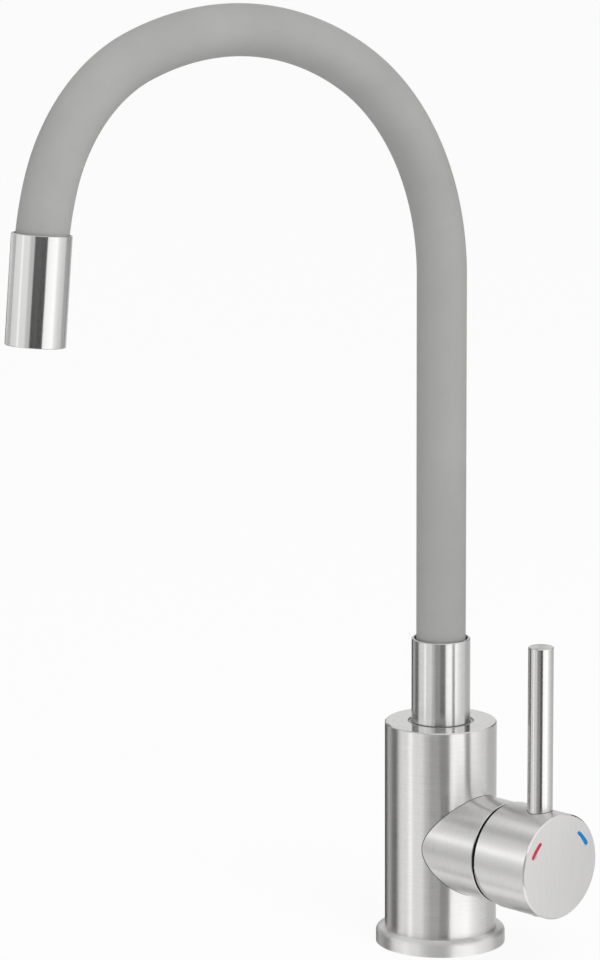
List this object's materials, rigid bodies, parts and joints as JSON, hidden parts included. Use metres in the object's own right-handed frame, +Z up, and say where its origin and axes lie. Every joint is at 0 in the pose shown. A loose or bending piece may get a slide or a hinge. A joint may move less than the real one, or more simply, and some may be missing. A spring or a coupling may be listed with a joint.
{
  "type": "kitchen mixer tap",
  "caption": "Single lever kitchen mixer tap in brushed steel, with a side handle, an upright rod lever and a grey flexible gooseneck spout.",
  "frame": {"origin": "centre of the foot's underside, on the deck", "axes": "+Z up along the column, -Y towards the outlet, +X along the handle"},
  "size_m": [0.1019, 0.277, 0.4921],
  "materials": {
    "column_steel": "satin, brushed round the column",
    "handle_steel": "satin, brushed round the cap",
    "bright_steel": "polished",
    "sleeve_silicone": "matte",
    "gooseneck_core": "satin",
    "dark_cover": "dark satin",
    "seal_rubber": "matte",
    "turned_brass": "machined",
    "white_ceramic": "polished ceramic",
    "cartridge_plastic": "moulded",
    "ring_plastic": "moulded",
    "aerator_plastic": "moulded",
    "zinc_steel": "zinc plated",
    "hot_enamel": "enamel",
    "cold_enamel": "enamel"
  },
  "bodies": {
    "tap": {"base_ring": "column_steel", "base_gasket": "seal_rubber", "tap_body": "column_steel", "handle_boss": "column_steel", "slip_ring_upper": "ring_plastic", "slip_ring_lower": "ring_plastic", "spout_lock_screw": "zinc_steel", "port_seal": "seal_rubber", "cartridge_base": "cartridge_plastic", "fixed_disc": "white_ceramic", "cartridge_housing": "cartridge_plastic", "cartridge_nut": "turned_brass", "cover_dome": "dark_cover", "stud_left": "zinc_steel", "stud_right": "zinc_steel"},
    "spout": {"lower_ferrule": "bright_steel", "hose_anchor": "turned_brass", "o_ring_lower": "seal_rubber", "o_ring_upper": "seal_rubber", "sleeve_riser": "sleeve_silicone", "gooseneck_riser": "gooseneck_core", "sleeve_low_bend": "sleeve_silicone", "gooseneck_low_bend": "gooseneck_core"},
    "spout_arch": {"sleeve_crown": "sleeve_silicone", "gooseneck_crown": "gooseneck_core", "sleeve_high_bend": "sleeve_silicone", "gooseneck_high_bend": "gooseneck_core"},
    "spout_tip": {"sleeve_drop": "sleeve_silicone", "gooseneck_drop": "gooseneck_core", "outlet_ferrule": "bright_steel", "outlet_adaptor": "turned_brass", "aerator_housing": "bright_steel", "aerator_washer": "seal_rubber", "aerator_insert": "aerator_plastic"},
    "rotor": {"rotor": "cartridge_plastic", "stem_pin": "zinc_steel"},
    "disc": {"moving_disc": "white_ceramic", "disc_driver": "cartridge_plastic"},
    "lever": {"lever_stem": "zinc_steel", "handle_cap": "handle_steel", "lever_rod": "handle_steel", "grub_screw": "zinc_steel", "screw_plug": "bright_steel", "hot_mark": "hot_enamel", "cold_mark": "cold_enamel"},
    "clamp": {"clamp_gasket": "seal_rubber", "clamp_plate": "zinc_steel", "stud_nut_left": "turned_brass", "stud_nut_right": "turned_brass"}
  },
  "joints": [
    {"name": "spout_swivel", "type": "hinge", "parent": "tap", "child": "spout", "pos_m": [0, 0, 0.1], "axis": [0, 0, 1], "continuous": true},
    {"name": "arch_bend", "type": "hinge", "parent": "spout", "child": "spout_arch", "pos_m": [0, -0.00004, 0.305], "axis": [1, 0, 0], "range_deg": [-20, 15], "deforming": ["sleeve_low_bend", "gooseneck_low_bend"]},
    {"name": "tip_bend", "type": "hinge", "parent": "spout_arch", "child": "spout_tip", "pos_m": [0, -0.20363, 0.39753], "axis": [1, 0, 0], "range_deg": [-25, 25], "deforming": ["sleeve_high_bend", "gooseneck_high_bend"]},
    {"name": "temperature_turn", "type": "hinge", "parent": "tap", "child": "rotor", "pos_m": [0.031, 0, 0.0484], "axis": [1, 0, 0], "range_deg": [-45, 45]},
    {"name": "lever_tilt", "type": "hinge", "parent": "rotor", "child": "lever", "pos_m": [0.031, 0, 0.0484], "axis": [0, 1, 0], "range_deg": [0, 16]},
    {"name": "disc_slide", "type": "slide", "parent": "rotor", "child": "disc", "axis": [0, 0, 1], "range_m": [0, 0.0031]},
    {"name": "clamp_travel", "type": "slide", "parent": "tap", "child": "clamp", "axis": [0, 0, 1], "range_m": [0, 0.033]}
  ],
  "couplings": [
    {"joint": "disc_slide", "follows": "lever_tilt", "m_per_rad": 0.011}
  ]
}
